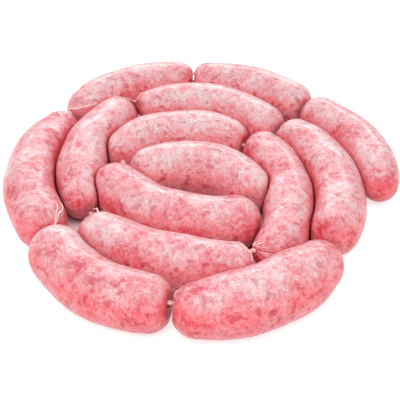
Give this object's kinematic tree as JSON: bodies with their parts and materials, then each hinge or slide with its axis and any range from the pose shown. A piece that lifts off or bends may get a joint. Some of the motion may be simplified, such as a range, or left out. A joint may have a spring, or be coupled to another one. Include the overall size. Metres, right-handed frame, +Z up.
{
  "type": "string of raw sausage links",
  "caption": "String of plump raw pork sausages in natural casing, twisted into links and laid down as a tight flat oval coil.",
  "frame": {"origin": "on the surface that the string lies on, below the middle of its outline", "axes": "+Z up, +Y along the longer way across the oval coil, away from the two thick front links, +X to the right towards the outer free end"},
  "size_m": [0.2526, 0.2766, 0.0368],
  "materials": {
    "sausage_meat": "coarse raw minced pork seen through a moist natural casing, mottled pink with pale fat, wet sheen",
    "bare_casing": "moist natural casing with no meat in it, twisted and half clear"
  },
  "bodies": {
    "root": {"link_01": "sausage_meat", "link_02": "sausage_meat", "link_03": "sausage_meat", "link_04": "sausage_meat", "link_05": "sausage_meat", "link_06": "sausage_meat", "link_07": "sausage_meat", "link_08": "sausage_meat", "link_09": "sausage_meat", "link_10": "sausage_meat", "link_11": "sausage_meat", "link_12": "sausage_meat", "link_13": "sausage_meat", "link_14": "sausage_meat", "twist_01": "bare_casing", "twist_02": "bare_casing", "twist_03": "bare_casing", "twist_04": "bare_casing", "twist_05": "bare_casing", "twist_06": "bare_casing", "twist_07": "bare_casing", "twist_08": "bare_casing", "twist_09": "bare_casing", "twist_10": "bare_casing", "twist_11": "bare_casing", "twist_12": "bare_casing", "twist_13": "bare_casing"}
  },
  "joints": []
}
